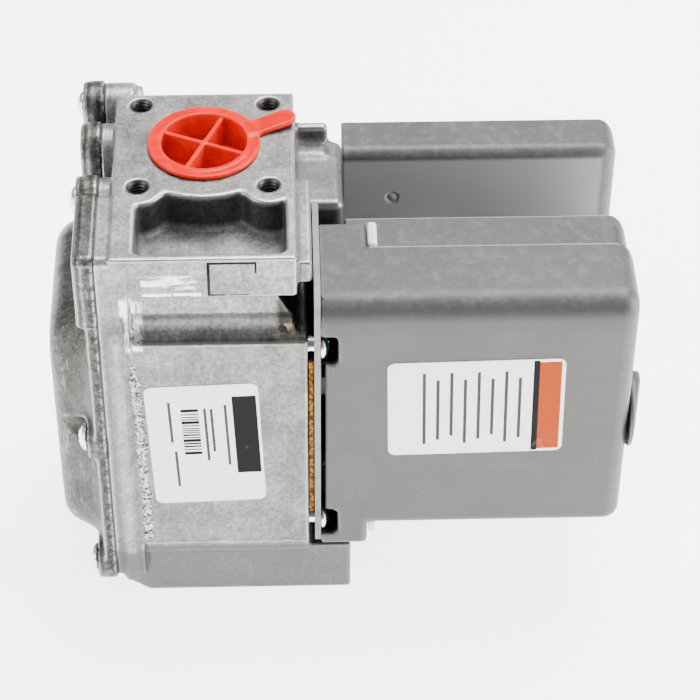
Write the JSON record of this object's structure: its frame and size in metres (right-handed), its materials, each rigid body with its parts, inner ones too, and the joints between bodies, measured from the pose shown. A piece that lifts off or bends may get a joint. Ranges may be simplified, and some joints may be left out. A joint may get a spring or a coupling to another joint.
{
  "type": "gas valve",
  "caption": "Combination gas control valve: cast straight-through body with square flanges, diaphragm cover, solenoids, regulator and plastic electronics housing.",
  "frame": {"origin": "port axis at the outlet face", "axes": "+Z along the port axis up to the inlet face, +X towards the plastic housing, +Y to the back"},
  "size_m": [0.1184, 0.0603, 0.096],
  "materials": {
    "body_casting": "die-cast skin, machined faces brighter",
    "cover_casting": "darker mottled die-cast skin",
    "bright_screw": "bright zinc plating",
    "rubber_black": "moulded nitrile",
    "turned_aluminium": "turned",
    "spring_steel": "drawn wire",
    "red_plug": "soft moulded polyethylene",
    "cork": "cork granules with binder",
    "steel_plate": "zinc plated sheet",
    "grey_housing": "fine texture",
    "white_clip": "smooth nylon",
    "knob_plastic": "fine texture",
    "board_green": "solder mask",
    "component_blue": "moulded case",
    "copper_winding": "enamelled wire",
    "brass_part": "turned",
    "cast_zinc": "cast and turned",
    "label_white": "printed film, bare"
  },
  "bodies": {
    "valve": {"valve_body": "body_casting", "bottom_cover": "cover_casting", "cover_screws": "bright_screw", "main_diaphragm": "rubber_black", "main_spring": "spring_steel", "inlet_screen": "spring_steel", "cork_gasket": "cork", "top_plate": "steel_plate", "plate_screws": "bright_screw", "housing": "grey_housing", "housing_clips": "white_clip", "housing_screws": "bright_screw", "switch_body": "knob_plastic", "circuit_board": "board_green", "relay": "component_blue", "transformer": "copper_winding", "capacitors": "component_blue", "harness_socket": "white_clip", "socket_pins": "brass_part", "first_coil_bobbin": "white_clip", "first_coil_winding": "copper_winding", "first_coil_yoke": "steel_plate", "first_guide_tube": "brass_part", "first_core": "steel_plate", "first_spring": "spring_steel", "servo_coil_bobbin": "white_clip", "servo_coil_winding": "copper_winding", "servo_coil_yoke": "steel_plate", "servo_guide_tube": "brass_part", "servo_core": "steel_plate", "servo_spring": "spring_steel", "regulator_tower": "cast_zinc", "regulator_diaphragm": "rubber_black", "regulator_spring": "spring_steel", "inlet_tap_plug": "brass_part", "outlet_tap_plug": "brass_part", "rating_label": "label_white", "notice_label": "label_white"},
    "plug": {"inlet_plug": "red_plug"},
    "knob": {"on_off_knob": "knob_plastic", "switch_rotor": "white_clip"},
    "main_valve": {"main_valve_disc": "turned_aluminium", "main_valve_seal": "rubber_black", "diaphragm_plates": "turned_aluminium"},
    "first_plunger_set": {"first_plunger": "steel_plate", "first_seal": "rubber_black"},
    "servo_plunger_set": {"servo_plunger": "steel_plate", "servo_seal": "rubber_black"},
    "regulator_cup_set": {"regulator_cup": "turned_aluminium"},
    "adjuster": {"adjusting_screw": "brass_part"},
    "cap": {"regulator_cap": "cast_zinc"}
  },
  "joints": [
    {"name": "plug_pull", "type": "slide", "parent": "valve", "child": "plug", "axis": [0, 0, 1], "range_m": [0, 0.03]},
    {"name": "knob_turn", "type": "hinge", "parent": "valve", "child": "knob", "pos_m": [0.0852, -0.0255, 0.0465], "axis": [1, 0, 0], "range_deg": [0, 90]},
    {"name": "main_valve_lift", "type": "slide", "parent": "valve", "child": "main_valve", "axis": [-1, 0, 0], "range_m": [0, 0.003], "stiffness_N_per_m": 150, "springref_m": -0.003, "deforming": ["main_diaphragm", "main_spring"]},
    {"name": "first_plunger_lift", "type": "slide", "parent": "valve", "child": "first_plunger_set", "axis": [1, 0, 0], "range_m": [0, 0.0015], "stiffness_N_per_m": 120, "springref_m": -0.002, "deforming": ["first_spring"]},
    {"name": "servo_plunger_lift", "type": "slide", "parent": "valve", "child": "servo_plunger_set", "axis": [1, 0, 0], "range_m": [0, 0.0015], "stiffness_N_per_m": 120, "springref_m": -0.002, "deforming": ["servo_spring"]},
    {"name": "regulator_float", "type": "slide", "parent": "valve", "child": "regulator_cup_set", "axis": [1, 0, 0], "range_m": [-0.0004, 0.0004], "stiffness_N_per_m": 400, "deforming": ["regulator_diaphragm", "regulator_spring"]},
    {"name": "adjusting_turn", "type": "hinge", "parent": "valve", "child": "adjuster", "pos_m": [0.042, 0.004, 0.058], "axis": [1, 0, 0], "range_deg": [-360, 360]},
    {"name": "cap_pull", "type": "slide", "parent": "valve", "child": "cap", "axis": [1, 0, 0], "range_m": [0, 0.012]}
  ]
}
